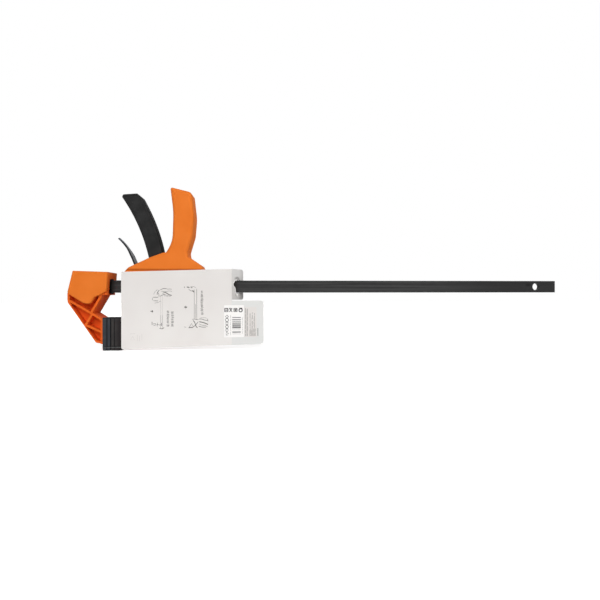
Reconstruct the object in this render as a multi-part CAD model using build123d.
from build123d import *
import os
from math import atan2, sin, tan, radians, degrees, hypot

# One-handed bar clamp.  Millimetres.  +X runs along the bar from the fixed jaw to its free end,
# +Z points up (the handle side), and the origin is the centre of the fixed pad's clamping face.

# ---------------------------------------------------------------- driving dimensions
# bar
bar_h = 16.0                 # depth of the flat steel bar
bar_t = 5.0                  # thickness of the bar
bar_len = 632.0
bar_edge = 0.6               # rounding along the bar
bar_hole_d = 10.0            # hole near the free end
bar_hole_inset = 28.0        # its centre from the free end
reach = 61.0                 # pad centre up to the middle of the bar
slide_clear = 0.25           # bar to everything that runs along it

# fixed jaw
jaw_t = 33.5                 # thickness of the head block that grips the bar
jaw_arm_t = 25.5             # thickness of the ribbed arms of both jaws
jaw_head_w = 41.2            # head block along the bar, at its top
jaw_head_rise = 19.3         # head block above the bar's centreline
jaw_brow = 1.3               # its wall leans out by this at the top
jaw_wall_x = -4.2            # the head block's face towards the other jaw
jaw_web = 4.0                # web between the ribs
jaw_rib = 2.5                # ribs and rim
jaw_back_rim = 1.5           # thinner rim along the arms' sloping back
jaw_round = 1.6              # rounding of the head block's edges
back_round = 1.2             # rounding along the arms' sloping back
socket_len = 26.3            # bar held in the head block
mouth_deep = 5.0             # wider mouth around the bar
mouth_side = 4.5             # its room beside the bar
collar_side = 3.0            # black collar in the mouth: beside the bar,
collar_over = 1.5            # above and below it,
collar_out = 0.9             # and beyond the jaw's wall
fit = 0.05                   # snug fits
pin_d = 4.0                  # spring pin through head block and bar
pin_floor = 5.5              # left under the blind pin hole

# pads
pad_w = 29.0
pad_rise = 21.3              # pad above its centre
pad_drop = 20.6              # pad below its centre
fixed_pad_deep = 9.8
moving_pad_deep = 13.9
pad_face_t = 3.4             # rubber in front of the jaw's tongue
pad_wall = 3.6
pad_lip = 1.1                # flare at the lower rim
pad_lip_h = 3.0
pad_groove = 4.4             # groove around the cap, from its face
jaw_gap = 0.3                # between the closed pads

# head housing
head_t = 29.0                # over both shells
head_wall = 2.6
grip_wall = 3.0
seam = 0.16                  # between the two shells
head_front_x = 14.6
head_len = 101.6
head_drop = 24.5             # underside below the bar's centreline
grip_round = 4.5
head_round = 2.4

# trigger and drive
trigger_t = 17.0
trigger_clear = 0.5
trigger_root = 17.1          # its grip part's foot in front of the pivot
trigger_round = 2.2
pivot_x = 62.0
pivot_drop = 17.0            # pivot below the bar's centreline
pivot_d = 5.0
running = 0.05               # radial clearance of turning pins
pivot_boss = 4.3             # radius of the trigger's eyes
nose_rise = 34.0             # contact nose above the pivot
nose_r = 4.0
trigger_swing = 13.0         # degrees
plate_t = 2.5                # drive plates
plate_w = 19.0
plate_over = 13.0            # plates above the bar
plate_under = 3.5            # plates below the bar
plate_count = 2
plate_gap = 0.1

# release lever
lever_t = 2.0
lever_root_w = 13.0          # above the deck
lever_tip_w = 6.6
lever_plate_w = 19.0
fulcrum_x = 36.5
fulcrum_drop = 16.5          # fulcrum below the bar's centreline
fulcrum_r = 1.6
lever_swing = 8.0            # degrees

# springs
wire_d = 1.2
coil_d = 20.0                # mean diameter, clears the bar's corners
drive_turns = 5
brake_turns = 3
seat_gap = 0.3
divider_x = 47.6             # wall between brake and drive
divider_t = 2.4

# bushes that the bar slides in
bush_wall = 1.4              # neck around the bar
bush_lip = 0.8               # flange beyond the neck
bush_flange = 1.4
bush_play = 0.3              # flanges to the housing's wall

# screws
screw_d = 3.0
screw_head_d = 5.6
screw_head_t = 2.2
screw_sink = 0.6             # head below the shell's face
boss_d = 7.6

# display card
card_t = 0.6
card_seat = 0.3              # card to the housing
card_left_x = 13.5
card_fold_x = 151.9
card_right_x = 192.9
card_rise = 18.1             # top left corner above the bar's centreline
card_drop = 80.5             # lower left corner below the bar's centreline
card_tilt = 1.75             # degrees
tail_drop = 18.6             # tail's upper edge below the bar's centreline
card_corner = 4.0
flap_len = 30.0
flap_turn = 65.0             # degrees out of the board's plane
flap_gap = 1.2               # cut between flap and tail
label_x = 142.0
label_w = 25.5
label_h = 41.4
label_low = -4.9
label_t = 0.12

# ---------------------------------------------------------------- derived places
zb = reach                                   # bar centreline
bar_top = zb + bar_h / 2
bar_low = zb - bar_h / 2
bar_x0 = jaw_wall_x - socket_len
bar_x1 = bar_x0 + bar_len
head_back_x = head_front_x + head_len
head_floor = zb - head_drop
pivot_z = zb - pivot_drop
nose_z = pivot_z + nose_rise
fulcrum_z = zb - fulcrum_drop
moving_face_x = jaw_gap
moving_back_x = moving_face_x + moving_pad_deep
plates_x = pivot_x + nose_r + plate_gap      # first drive plate's face
plates_end = plates_x + plate_count * (plate_t + plate_gap) - plate_gap


# ---------------------------------------------------------------- helpers
def outline(*parts):
    """A face from a closed run of point lists and curves."""
    return make_face(Curve() + [Polyline(*p) if isinstance(p, list) else p for p in parts])


def round_corner(face, point, radius):
    """Round the corner of a face that lies at a point."""
    corner = min(face.vertices(), key=lambda v: hypot(v.X - point[0], v.Y - point[1]))
    return fillet(corner, radius)


def rounded(points, radii):
    """A polygon whose corners are rounded, each with its own radius; 0 leaves one sharp."""
    face = make_face(Polyline(*points, close=True))
    for point, radius in zip(points, radii):
        if radius:
            face = round_corner(face, point, radius)
    return face


def across(face, y0, y1):
    """Extrude a face drawn in X and Z from depth y0 to depth y1."""
    plane = Plane(origin=(0, y1, 0), x_dir=(1, 0, 0), z_dir=(0, -1, 0))
    return extrude(plane * face, amount=y1 - y0)


def middle(face, thick):
    """Extrude a face drawn in X and Z evenly to both sides of the middle plane."""
    return across(face, -thick / 2, thick / 2)


def block(x0, x1, y0, y1, z0, z1):
    """A box between six planes."""
    return Pos((x0 + x1) / 2, (y0 + y1) / 2, (z0 + z1) / 2) * Box(x1 - x0, y1 - y0, z1 - z0)


def rod(x, z, r, y0, y1):
    """A cylinder across the clamp."""
    return Pos(x, (y0 + y1) / 2, z) * Rot(X=90) * Cylinder(r, y1 - y0)


def bar_room(x0, x1, clear):
    """Room for the bar between x0 and x1."""
    return block(x0, x1, -bar_t / 2 - clear, bar_t / 2 + clear, bar_low - clear, bar_top + clear)


def stroke(p, q, width):
    """A straight rib between two points, as a face."""
    run = hypot(q[0] - p[0], q[1] - p[1])
    angle = degrees(atan2(q[1] - p[1], q[0] - p[0]))
    return Pos((p[0] + q[0]) / 2, (p[1] + q[1]) / 2) * Rot(Z=angle) * Rectangle(run, width)


def coil(x0, x1, turns):
    """A compression spring around the bar, with its wire inside x0 and x1."""
    high = x1 - x0 - wire_d
    path = Helix(high / turns, high, coil_d / 2)
    wire = sweep(Plane(origin=path @ 0, z_dir=path % 0) * RegularPolygon(wire_d / 2, 6), path=path)
    return Pos(x0 + wire_d / 2, 0, zb) * Rot(Y=90) * wire


# ---------------------------------------------------------------- bar
def make_bar():
    flat = Pos((bar_x0 + bar_x1) / 2, 0, zb) * Box(bar_len, bar_t, bar_h)
    flat = fillet(flat.edges().filter_by(Axis.X), bar_edge)
    flat -= rod(bar_x1 - bar_hole_inset, zb, bar_hole_d / 2, -bar_t, bar_t)
    return flat - rod(jaw_pin_x, zb, pin_d / 2 + fit, -bar_t, bar_t)


jaw_pin_x = bar_x0 + socket_len / 2 - 1.0


def make_jaw_pin():
    y0 = -jaw_t / 2 + pin_floor + fit
    pin = rod(jaw_pin_x, zb, pin_d / 2, y0, jaw_t / 2 - 0.4)
    pin = chamfer(pin.edges(), 0.4)
    return pin - rod(jaw_pin_x, zb, pin_d / 4, y0 + 1.5, jaw_t / 2)


# ---------------------------------------------------------------- jaws
# Both jaws have the same throat and the same sloping back, one the mirror of the other about the
# pads' contact plane.  Points are (distance from the jaw's wall, height).
throat_deep = 18.8           # notch into the arm, from the jaw's wall
throat_low = 27.4            # its inner corner above the pad's centre
throat_top = 11.0            # notch's upper corner below the bar's centreline
throat_step = 6.2
arm_back = 48.2              # widest point of the arm from the wall
arm_back_z = 16.8            # its height below the bar's centreline
arm_low = 12.3               # toe below the pad's centre
toe_len = 14.9
seat_in = 5.9                # pad seat, from the jaw's wall
tongue_rise = 16.0
tongue_drop = 16.5
tongue_w = 20.0


def arm_points(wall_x, way):
    """Corners of a jaw's arm: throat, pad seat, toe and sloping back."""
    seat = wall_x + way * seat_in
    return {
        "throat_top": (wall_x + way * throat_step, zb - throat_top),
        "throat": (wall_x + way * throat_deep, throat_low),
        "seat_top": (seat, pad_rise - 2.4),
        "seat_low": (seat, -arm_low),
        "toe": (wall_x + way * toe_len, 2.1 - arm_low),
        "back": (wall_x + way * arm_back, zb - arm_back_z - 4.8),
        "back_top": (wall_x + way * (arm_back + 0.7), zb - arm_back_z),
        "cross": (wall_x + way * throat_deep, throat_low - 1.6),
        "rib_low": (wall_x + way * 27.2, 12.0),
        "rib_end": (wall_x + way * 29.0, 9.0),
        "rib_toe": (seat, 2.0),
    }


def arm_ribs(p):
    """The three ribs inside an arm: across, down along the throat, and to the pad."""
    ribs = stroke(p["back_top"], p["cross"], jaw_rib) + stroke(p["cross"], p["seat_top"], jaw_rib)
    ribs += stroke(p["throat_top"], p["cross"], jaw_rib) + stroke(p["cross"], p["rib_end"], jaw_rib)
    return ribs + stroke(p["rib_low"], p["rib_toe"], jaw_rib)


def arm_window(side, p):
    """The part of an arm between its rims."""
    (x0, z0), (x1, z1) = p["toe"], p["back"]
    share = 1.6 * jaw_rib / hypot(x1 - x0, z1 - z0)
    start = (x0 + share * (x1 - x0), z0 + share * (z1 - z0))
    stop = (x1 + share * (x0 - x1), z1 + share * (z0 - z1))
    edge = stroke(start, stop, 2 * jaw_rib + 1) & offset(side, -jaw_back_rim, kind=Kind.INTERSECTION)
    return offset(side, -jaw_rib, kind=Kind.INTERSECTION) + edge


def soften_back(arm, p):
    """Round the long edges of an arm's sloping back, from the toe up to its widest point."""
    x, z = (p["toe"][0] + p["back"][0]) / 2, (p["toe"][1] + p["back"][1]) / 2
    edges = [e for e in arm.edges() if hypot(e.center().X - x, e.center().Z - z) < 1.0]
    return fillet(edges, back_round)


def make_fixed_jaw():
    p = arm_points(jaw_wall_x, -1)
    top = zb + jaw_head_rise
    x = jaw_wall_x
    side = [(x - 47.6, zb - 7.6), (x - jaw_head_w, top), (x + jaw_brow, top - 1.3), (x - 0.2, bar_low + 2.0)]
    # arm: rim, web and ribs
    arm_side = outline(
        [side[3], (side[3][0], zb - throat_top + 0.2), p["throat_top"], p["throat"], p["seat_top"],
         p["seat_low"], p["toe"], p["back"], p["back_top"], (p["back_top"][0], zb - 8.6), (x - 30, zb),
         side[3]]
    )
    arm = soften_back(middle(arm_side, jaw_arm_t), p)
    pocket = arm_window(arm_side, p) - arm_ribs(p)
    for y0, y1 in ((-jaw_arm_t / 2, -jaw_web / 2), (jaw_web / 2, jaw_arm_t / 2)):
        arm -= across(pocket, y0, y1)
    # head block with its rounded lower lip
    lip = [side[3], (x - 7.4, zb - 11), (x - 15.0, zb - 13.9), (x - 19.6, zb - 21.4),
           (x - 22.5, zb - 22.6), (x - 28.9, zb - 21.2), (x - 44.4, zb - 11), side[0]]
    head_side = outline([side[0], side[1], side[2], side[3]], lip)
    head_side = fillet(head_side.vertices().sort_by(Axis.Y)[:2], 2.0)
    head_side = round_corner(head_side, side[3], 4.0)
    head = middle(head_side, jaw_t)
    rims = head.edges().group_by(Axis.Y)
    head = fillet(rims[0] + rims[-1], jaw_round)
    # tongue that the pad is pushed on
    tongue = block(p["seat_top"][0] - 0.5, -pad_face_t, -tongue_w / 2, tongue_w / 2,
                   -tongue_drop, tongue_rise)
    seat = block(p["seat_top"][0] - jaw_rib, p["seat_top"][0], -jaw_arm_t / 2, jaw_arm_t / 2,
                 -arm_low, pad_rise - 4)
    jaw = arm + head + tongue + seat
    # socket for the bar, its wider mouth and the blind pin hole
    jaw -= bar_room(bar_x0 - fit, 0, fit)
    jaw -= block(x - mouth_deep, 0, -bar_t / 2 - mouth_side, bar_t / 2 + mouth_side,
                 bar_low - collar_over - fit, bar_top + collar_over + fit)
    return jaw - rod(jaw_pin_x, zb, pin_d / 2 + fit / 2, -jaw_t / 2 + pin_floor, jaw_t)


def make_jaw_collar():
    """Black collar that stands on the mouth's floor and steadies the bar."""
    x0, x1 = jaw_wall_x - mouth_deep, jaw_wall_x + collar_out
    side = bar_t / 2 + collar_side
    collar = block(x0, x1, -side, side, bar_low - collar_over, bar_top + collar_over)
    collar = fillet(collar.edges().filter_by(Axis.X), 1.2)
    collar = chamfer(collar.faces().sort_by(Axis.X)[-1].edges(), 0.4)
    return collar - bar_room(x0 - 1, x1 + 1, fit)


def make_pad(face_x, way, deep):
    """A soft cap over a jaw's tongue.  face_x is its clamping face, way its open side."""
    x0, x1 = sorted((face_x, face_x + way * deep))
    cap = block(x0, x1, -pad_w / 2, pad_w / 2, -pad_drop, pad_rise)
    cap = fillet(cap.edges().filter_by(Axis.X), 3.0)
    cap = fillet(cap.faces().sort_by(Axis.X)[-1 if way < 0 else 0].edges(), 0.8)
    # shallow groove around the cap behind its face
    ring_x = face_x + way * pad_groove
    ring = block(ring_x - 0.6, ring_x + 0.6, -pad_w, pad_w, -2 * pad_drop, 2 * pad_rise)
    core = block(ring_x - 0.6, ring_x + 0.6, -pad_w / 2 + 0.5, pad_w / 2 - 0.5,
                 -pad_drop + 0.5, pad_rise - 0.5)
    cap -= ring - fillet(core.edges().filter_by(Axis.X), 2.5)
    # lip along the lower rim
    x0, x1 = sorted((face_x, face_x + way * (deep + pad_lip / 2)))
    lip = block(x0, x1, -pad_w / 2 - pad_lip / 2, pad_w / 2 + pad_lip / 2, -pad_drop, pad_lip_h - pad_drop)
    corners = lip.edges().filter_by(Axis.Z).group_by(Axis.X)[0 if way < 0 else -1]
    lip = fillet(corners, 3.0)
    lip = chamfer(lip.edges().filter_by(Axis.Z, reverse=True), 0.9)
    return cap + lip


def pad_socket(face_x, way, far_x):
    """The pocket in a pad for the tongue."""
    x0, x1 = sorted((face_x + way * (pad_face_t - fit), far_x))
    return block(x0, x1, -tongue_w / 2 - fit, tongue_w / 2 + fit, -tongue_drop - fit, tongue_rise + fit)


def make_fixed_pad():
    pad = make_pad(0, -1, fixed_pad_deep)
    return pad - pad_socket(0, -1, -fixed_pad_deep - pad_lip)


def make_moving_pad():
    pad = make_pad(moving_face_x, 1, moving_pad_deep)
    return pad - pad_socket(moving_face_x, 1, moving_back_x + pad_lip)


# ---------------------------------------------------------------- head housing
def body_side():
    """Side of the housing body: front, sloping deck, rear shoulder and floor."""
    fx, bx, fl = head_front_x, head_back_x, head_floor
    points = [(fx, zb - throat_top - 0.6), (fx, zb + 16.5), (fx + 6.6, zb + 24.0),
              (pivot_x - 14.0, zb + 36.9), (pivot_x + 3.7, zb + 43.6), (pivot_x + 30.0, zb + 40.7),
              (bx - 3.3, zb + 26.4),
              (bx, zb + 18.0), (bx, fl + 8), (bx - 8, fl), (fx + 7.6, fl)]
    return rounded(points, [0, 5, 8, 12, 12, 6, 5, 5, 5, 5, 0])


def grip_side():
    """Side of the pistol grip, from inside the body up to its slanted crown."""
    x = pivot_x
    points = [(x - 6.0, zb + 34.0), (x + 6.6, zb + 44.4), (x + 14.0, zb + 58.0), (x + 15.2, zb + 96.0),
              (x + 11.4, zb + 127.8), (x + 38.4, zb + 121.5), (x + 41.8, zb + 90.0),
              (x + 39.8, zb + 66.0), (x + 33.2, zb + 44.0), (x + 35.5, zb + 30.0)]
    return rounded(points, [0, 9, 40, 120, 2.0, 5.5, 60, 24, 9, 0])


def moving_arm_side():
    """Side of the moving jaw's arm and its named corners."""
    p = arm_points(moving_back_x + seat_gap - seat_in, 1)
    side = [(head_front_x, bar_low), p["throat_top"], p["throat"], p["seat_top"], p["seat_low"],
            p["toe"], p["back"], (p["back"][0], bar_low)]
    return p, make_face(Polyline(*side, close=True))


def screw_spots():
    """Places of the housing screws: four round the mechanism, two in the grip, one in the arm."""
    fx, bx = head_front_x, head_back_x
    return [(fx + 7.0, zb + 15.0), (fx + 12.4, zb - 16.4), (bx - 8.4, zb + 17.2), (bx - 10.4, zb - 16.4),
            (pivot_x + 26.5, zb + 112.0), (pivot_x + 28.5, zb + 64.0), (fx + 24.8, 25.0)]


def divider_side():
    """The wall between brake and drive, seen from the side."""
    z0, z1 = head_floor + 1, bar_top + 10
    return Pos(divider_x + divider_t / 2, (z0 + z1) / 2) * Rectangle(divider_t, z1 - z0)


def lever_seat_side():
    """The trough that the release lever's foot stands in, seen from the side."""
    x, z = fulcrum_x, fulcrum_z
    r = fulcrum_r + running
    trough = Pos(x, (head_floor + z + 1.0) / 2) * Rectangle(10, z + 1.0 - head_floor)
    mouth = make_face(Polyline((x, z - r), (x + 1.7, z - r + 0.6), (x + 2.8, z + 5), (x - 4.4, z + 5),
                               (x - 1.7, z - r + 0.6), (x, z - r)))
    return trough - mouth - Pos(x, z) * Circle(r)


def trigger_slot_side():
    """What the trigger sweeps through the deck and the grip's front, seen from the side."""
    x0 = pivot_x - trigger_root - trigger_clear
    return make_face(Polyline((x0, zb + 24), (x0, zb + 39.6), (pivot_x + 2, zb + 52), (pivot_x + 12, zb + 70),
                              (pivot_x + 19.4, zb + 70), (pivot_x + 19.4, zb + 24), (x0, zb + 24)))


def make_housing():
    """Both shells in one piece, with walls, bosses, seats and openings, still unsplit."""
    body_face, grip_face = body_side(), grip_side()
    body = middle(body_face, head_t)
    rims = body.edges().group_by(Axis.Y)
    body = fillet(rims[0] + rims[-1], head_round)
    grip = middle(grip_face, head_t)
    foot_z = zb + 34.0 + 0.01
    rims = grip.edges().group_by(Axis.Y)
    grip = fillet([e for e in rims[0] + rims[-1] if e.bounding_box().max.Z > foot_z], grip_round)
    p, arm_face = moving_arm_side()
    arm = soften_back(middle(arm_face, jaw_arm_t), p)
    spots = screw_spots()
    pocket = arm_window(arm_face, p) - arm_ribs(p)
    pocket -= Pos(*spots[-1]) * Circle(boss_d / 2)
    pocket -= Pos(head_front_x + head_len / 2, zb) * Rectangle(head_len, 2 * head_drop)
    for y0, y1 in ((-jaw_arm_t / 2, -jaw_web / 2 - 1), (jaw_web / 2 + 1, jaw_arm_t / 2)):
        arm -= across(pocket, y0, y1)
    seat_x = p["seat_top"][0]
    tongue = block(moving_face_x + pad_face_t, seat_x + 0.5, -tongue_w / 2, tongue_w / 2,
                   -tongue_drop, tongue_rise)
    tongue += block(seat_x, seat_x + jaw_rib, -jaw_arm_t / 2, jaw_arm_t / 2, -arm_low, pad_rise - 4)
    shell = body + grip + arm + tongue
    # inside
    inner_t = head_t - 2 * head_wall
    inside = middle(offset(body_face, -head_wall, kind=Kind.INTERSECTION), inner_t)
    inside += middle(offset(grip_face, -grip_wall, kind=Kind.INTERSECTION), head_t - 2 * grip_wall)
    shell -= inside
    # walls and seats across the inside
    fill = middle(divider_side() + lever_seat_side(), inner_t)
    shell += fill & inside
    # screw bosses and eyes for the trigger's pin
    for x, z in spots[:-1]:
        shell += rod(x, z, boss_d / 2, -inner_t / 2, inner_t / 2)
    eye_y = trigger_t / 2 + trigger_clear
    for y0, y1 in ((-inner_t / 2, -eye_y), (eye_y, inner_t / 2)):
        shell += rod(pivot_x, pivot_z, pivot_boss + 0.4, y0, y1)
    shell -= rod(pivot_x, pivot_z, pivot_d / 2 + fit, -inner_t / 2 - 1, inner_t / 2 + 1)
    # openings: bar, trigger and release lever
    shell -= bar_room(head_front_x - 1, head_back_x + 1, slide_clear + bush_wall + fit)
    shell -= middle(trigger_slot_side(), trigger_t + 2 * trigger_clear)
    slot_x0 = fulcrum_x - 12.4
    slot_x1 = fulcrum_x - 7.3 + lever_t / 2 + 41.0 * sin(radians(lever_swing)) + trigger_clear
    slot_y = lever_root_w / 2 + trigger_clear
    shell -= block(slot_x0, slot_x1, -slot_y, slot_y, zb + 22.0, zb + 36.0)
    # screw holes, driven from the rear
    for (x, z), half in zip(spots, screw_halves()):
        shell -= rod(x, z, screw_d / 2 + fit, screw_tip_y(half), half + 1)
        shell -= rod(x, z, screw_head_d / 2 + 0.2, half - screw_sink - screw_head_t, half + 1)
    return shell


def screw_halves():
    """Half thickness of the housing at each screw."""
    return [head_t / 2] * 6 + [jaw_arm_t / 2]


def screw_tip_y(half):
    return -half + 4.5


def half_of(shell, way):
    """One shell: the part of the housing on one side of the seam."""
    big = 400.0
    y0, y1 = sorted((way * seam / 2, way * big))
    return shell & block(-big, big, y0, y1, -big, big)


def make_screws():
    """Pan head screws, all driven from the rear shell."""
    screws = []
    for (x, z), half in zip(screw_spots(), screw_halves()):
        face_y = half - screw_sink
        shank = rod(x, z, screw_d / 2, screw_tip_y(half) + 0.4, face_y - screw_head_t)
        head = rod(x, z, screw_head_d / 2, face_y - screw_head_t, face_y)
        head = chamfer(head.faces().sort_by(Axis.Y)[-1].edges(), 0.5)
        cross = block(x - 1.5, x + 1.5, face_y - 1.2, face_y + 1, z - 0.35, z + 0.35)
        cross += block(x - 0.35, x + 0.35, face_y - 1.2, face_y + 1, z - 1.5, z + 1.5)
        screws.append(shank + head - cross)
    return screws


# ---------------------------------------------------------------- bushes
def make_guide(wall_x, way):
    """A spool shaped bush in the housing's end wall; wall_x is the wall's outer face, way points inwards."""
    neck = slide_clear + bush_wall
    flange = neck + bush_lip
    far = wall_x + way * (head_wall + bush_play)
    x0, x1 = sorted((wall_x - way * bush_flange, far + way * bush_flange))
    bush = bar_room(x0, x1, neck)
    for start in (wall_x - way * bush_flange, far):
        a, b = sorted((start, start + way * bush_flange))
        bush += bar_room(a, b, flange)
    rims = [e for e in bush.edges().filter_by(Axis.X) if abs(e.center().Y) > bar_t / 2 + neck + 0.1]
    bush = fillet(rims, 1.0)
    return bush - bar_room(x0 - 1, x1 + 1, slide_clear)


# ---------------------------------------------------------------- trigger and drive
def make_trigger():
    """The squeezed lever: curved grip part, fork over the bar, two eyes and a rounded nose."""
    x, z = pivot_x, pivot_z
    left = ThreePointArc((x - 50.4, z + 132.1), (x - 27.7, z + 89.1), (x - trigger_root, z + 54.5))
    right = ThreePointArc((x + 0.5, z + 62.0), (x - 6.6, z + 88.5), (x - 22.5, z + 126.0))
    crown = [(x - 25.5, z + 132.0), (x - 31.2, z + 136.9), (x - 48.8, z + 135.4), (x - 50.4, z + 132.1)]
    side = outline(
        left,
        [left @ 1, (x - 13.0, z + 46), (x - 4.1, z + 33.0), (x - 4.1, z), (x + 3.9, z), (x + 3.5, z + 35.5),
         (x + 2.2, z + 40.0), right @ 0],
        right,
        [right @ 1] + crown,
    )
    for point, radius in zip(crown, (5.0, 2.4, 1.6, 1.2)):
        side = round_corner(side, point, radius)
    lever = middle(side, trigger_t)
    edges = [e for e in lever.edges() if abs(abs(e.center().Y) - trigger_t / 2) < 0.01
             and e.bounding_box().min.Z > z + 50]
    lever = fillet(edges, trigger_round)
    # shallow panel in each side of the grip part
    panel = offset(side, -2.6, kind=Kind.INTERSECTION) - Pos(x, z) * Rectangle(80, 132)
    for y0, y1 in ((-trigger_t, 0.5 - trigger_t / 2), (trigger_t / 2 - 0.5, trigger_t)):
        lever -= across(panel, y0, y1)
    half = trigger_t / 2
    lever += rod(x, z, pivot_boss, -half, half)
    lever += rod(x, nose_z, nose_r, -half, half)
    # fork over the bar, and the pin's bore
    fork_top = bar_top + 3.5
    lever -= block(x - 20, x + 20, -bar_t / 2 - 2 * slide_clear, bar_t / 2 + 2 * slide_clear,
                   z - 10, fork_top)
    return lever - rod(x, z, pivot_d / 2 + running, -half - 1, half + 1)


def make_trigger_pin():
    y = head_t / 2 - head_wall + 0.8
    pin = rod(pivot_x, pivot_z, pivot_d / 2, -y, y)
    return chamfer(pin.edges(), 0.4)


def make_drive_plate(number):
    """A hardened plate on the bar.  Tilting it grips the bar."""
    x0 = plates_x + number * (plate_t + plate_gap)
    plate = block(x0, x0 + plate_t, -plate_w / 2, plate_w / 2, bar_low - plate_under, bar_top + plate_over)
    plate = fillet(plate.edges().filter_by(Axis.X), 2.0)
    return plate - bar_room(x0 - 1, x0 + plate_t + 1, slide_clear)


def make_drive_spring():
    stop_x = head_back_x - head_wall - bush_play - bush_flange
    return coil(plates_end + seat_gap, stop_x - seat_gap, drive_turns)


# ---------------------------------------------------------------- release lever
def lever_side():
    """The bent plate from the side: straight through the bar, then two bends to the tip."""
    x, z = fulcrum_x, fulcrum_z
    foot = Line((x, z), (x - 4.3, z + 25.5))
    bend = TangentArc(foot @ 1, (x - 14.3, z + 57.1), tangent=foot % 1)
    tip = TangentArc(bend @ 1, (x - 30.7, z + 79.0), tangent=bend % 1)
    return trace(foot + bend + tip, lever_t) + Pos(x, z) * Circle(fulcrum_r)


def make_release_lever():
    """Bent steel plate: foot in the housing, slot around the bar, thumb tab above the deck."""
    strip = middle(lever_side(), lever_plate_w)
    wide, root, tip = lever_plate_w / 2, lever_root_w / 2, lever_tip_w / 2
    low, high = fulcrum_z - 2 * fulcrum_r, fulcrum_z + 82.0
    half = [(wide, low), (wide, bar_top + 5), (root, bar_top + 10), (root, high - 24), (tip, high - 16),
            (tip - 0.8, high)]
    front = rounded(half + [(-y, z) for y, z in reversed(half)], [0, 2, 2, 6, 6, 2] + [2, 6, 6, 2, 2, 0])
    cut = extrude(Plane.YZ.offset(fulcrum_x - 60) * front, amount=90)
    room = block(fulcrum_x - 20, fulcrum_x + 20, -bar_t / 2 - slide_clear, bar_t / 2 + slide_clear,
                 bar_low - 2 * slide_clear, bar_top + 2.4 * slide_clear)
    return (strip & cut) - room


def make_brake_spring():
    lean = 4.3 / 25.5
    touch_x = fulcrum_x + lever_t / 2 - (bar_low - wire_d - fulcrum_z - 1.4) * lean + 0.1
    return coil(touch_x + seat_gap, divider_x - seat_gap, brake_turns)


# ---------------------------------------------------------------- display card
card_y = -head_t / 2 - card_seat - card_t / 2


def card_edge(z, x):
    """Height of a tilted card edge that starts at height z on the left."""
    return z + (x - card_left_x) * tan(radians(card_tilt))


def make_card():
    """Board in front of the housing, with a tail on the right and a flap folded back over the bar."""
    top, low, tail_z = zb + card_rise, zb - card_drop, zb - tail_drop
    board = rounded(
        [(card_left_x, low), (card_right_x, card_edge(low, card_right_x)), (card_right_x, tail_z),
         (card_fold_x, tail_z), (card_fold_x, card_edge(top, card_fold_x)), (card_left_x, top)],
        [card_corner - 1, card_corner + 1, card_corner, 0, 0, 1],
    )
    board = across(board, card_y - card_t / 2, card_y + card_t / 2)
    flap_low, flap_top = tail_z + flap_gap, card_edge(top, card_fold_x)
    flap = rounded([(0, flap_low), (flap_len, flap_low), (flap_len, flap_top + 1), (0, flap_top)],
                   [0, card_corner, card_corner, 0])
    side = bar_t / 2 + 0.8
    s0, s1 = ((-card_y + y) / sin(radians(flap_turn)) for y in (-side, side))
    top_z = bar_top + card_seat
    torn = make_face(Polyline((s1, top_z), (s0, top_z + 1.2), (s0 - 3.2, top_z), (s0 - 9.5, top_z - 5),
                              (s0 - 8.8, top_z - 7.5), (s0 - 4.8, top_z - 10), (s0 - 3.2, bar_low + 0.5),
                              (s0 + 0.3, bar_low - 4.5), (s0 + 3, bar_low - 1), (s1, bar_low - 0.5),
                              (s1, top_z)))
    flap = middle(flap - torn, card_t)
    flap = Pos(card_fold_x, card_y, 0) * Rot(Z=flap_turn) * flap
    crease = Pos(card_fold_x, card_y, (flap_low + flap_top) / 2) * Cylinder(card_t / 2, flap_top - flap_low)
    return board + flap + crease


def make_label():
    """Plain sticker on the card's tail."""
    x = label_x + label_w / 2
    face = Pos(x, label_low + label_h / 2) * RectangleRounded(label_w, label_h, 0.8)
    return across(face, card_y - card_t / 2 - label_t, card_y - card_t / 2)


# ---------------------------------------------------------------- write the parts
def main():
    housing = make_housing()
    parts = {
        "bar": make_bar(),
        "fixed_jaw": make_fixed_jaw(),
        "jaw_pin": make_jaw_pin(),
        "jaw_collar": make_jaw_collar(),
        "fixed_pad": make_fixed_pad(),
        "housing_front": half_of(housing, -1),
        "housing_rear": half_of(housing, 1),
        "moving_pad": make_moving_pad(),
        "guide_front": make_guide(head_front_x, 1),
        "guide_rear": make_guide(head_back_x, -1),
        "trigger": make_trigger(),
        "trigger_pin": make_trigger_pin(),
        "drive_spring": make_drive_spring(),
        "release_lever": make_release_lever(),
        "brake_spring": make_brake_spring(),
        "display_card": make_card(),
        "card_label": make_label(),
    }
    for number in range(plate_count):
        parts[f"drive_plate_{number + 1}"] = make_drive_plate(number)
    for number, screw in enumerate(make_screws()):
        parts[f"housing_screw_{number + 1}"] = screw
    os.makedirs("parts", exist_ok=True)
    for name, solid in parts.items():
        export_step(solid, f"parts/{name}.step")


main()
